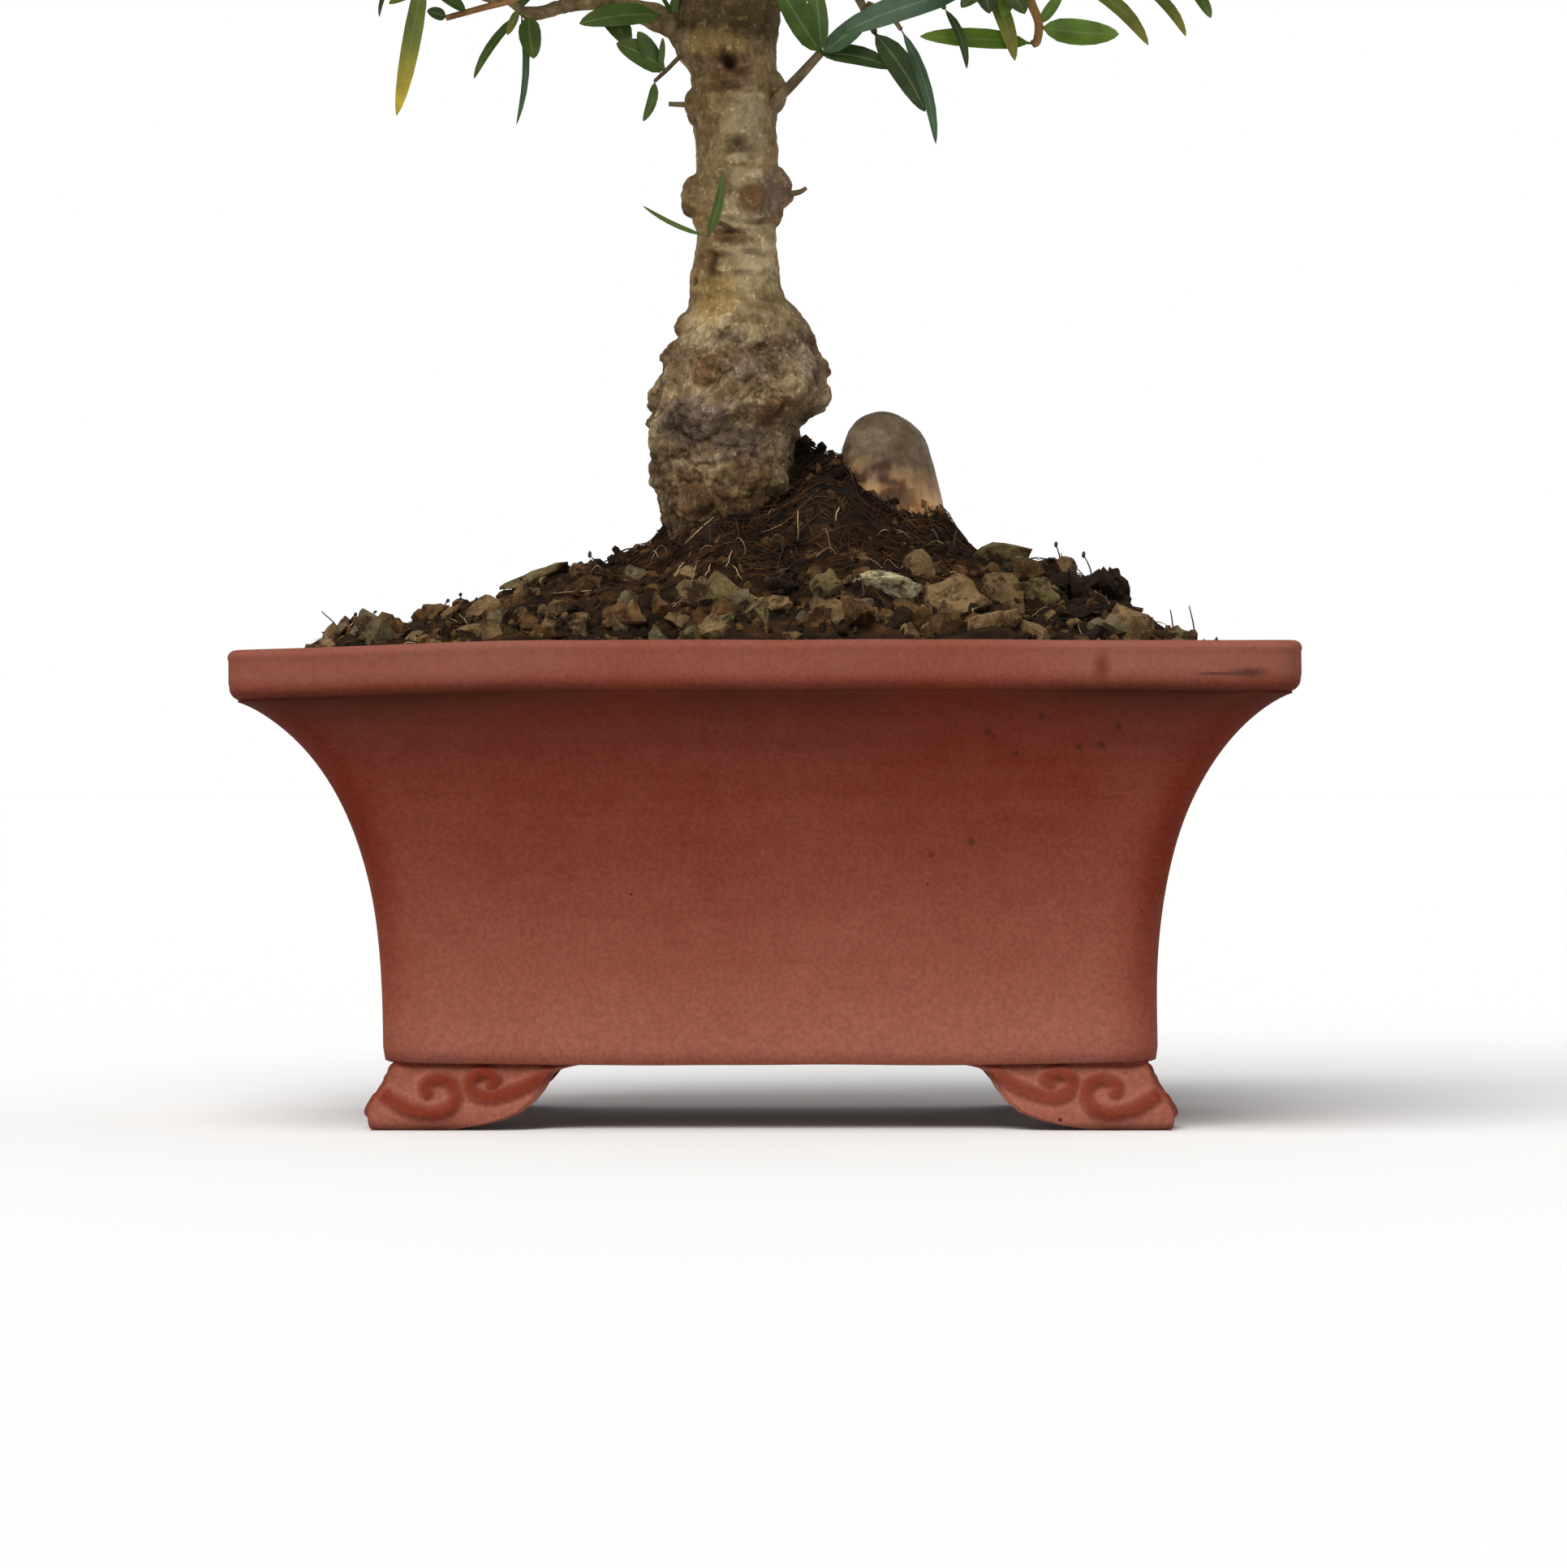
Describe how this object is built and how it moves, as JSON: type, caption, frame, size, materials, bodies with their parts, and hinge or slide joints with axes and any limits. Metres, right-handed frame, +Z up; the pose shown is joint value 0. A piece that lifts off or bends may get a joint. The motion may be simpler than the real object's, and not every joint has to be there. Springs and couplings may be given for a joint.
{
  "type": "potted bonsai tree",
  "caption": "Small evergreen bonsai with a swollen trunk base and narrow leaves, in a rectangular unglazed clay pot with a heavy rim and scroll feet.",
  "frame": {"origin": "on the ground under the middle of the pot", "axes": "+Z up, +X to the right and +Y to the back as the front of the pot is seen"},
  "size_m": [0.2332, 0.2009, 0.3872],
  "materials": {
    "clay": "unglazed red-brown clay",
    "soil": "dark peaty soil with tan grit",
    "bark": "tan and olive mottled bark",
    "knee_bark": "smooth grey-brown root bark",
    "foliage": "dark green leathery leaves"
  },
  "bodies": {
    "root": {"pot": "clay", "foot_front_left": "clay", "foot_front_right": "clay", "foot_back_left": "clay", "foot_back_right": "clay", "soil": "soil", "trunk": "bark", "root_knee": "knee_bark", "bough_left": "bark", "bough_right": "bark", "bough_front_left": "bark", "bough_front_right": "bark", "bough_back_right": "bark", "bough_back_left": "bark", "bough_high_left": "bark", "bough_high_front": "bark", "bough_high_right": "bark", "bough_high_back": "bark", "bough_top": "bark", "foliage_left": "foliage", "foliage_right": "foliage", "foliage_front_left": "foliage", "foliage_front_right": "foliage", "foliage_back_right": "foliage", "foliage_back_left": "foliage", "foliage_high_left": "foliage", "foliage_high_front": "foliage", "foliage_high_right": "foliage", "foliage_high_back": "foliage", "foliage_top": "foliage", "shoot_right": "foliage", "shoot_left": "foliage", "shoot_front": "foliage"}
  },
  "joints": []
}
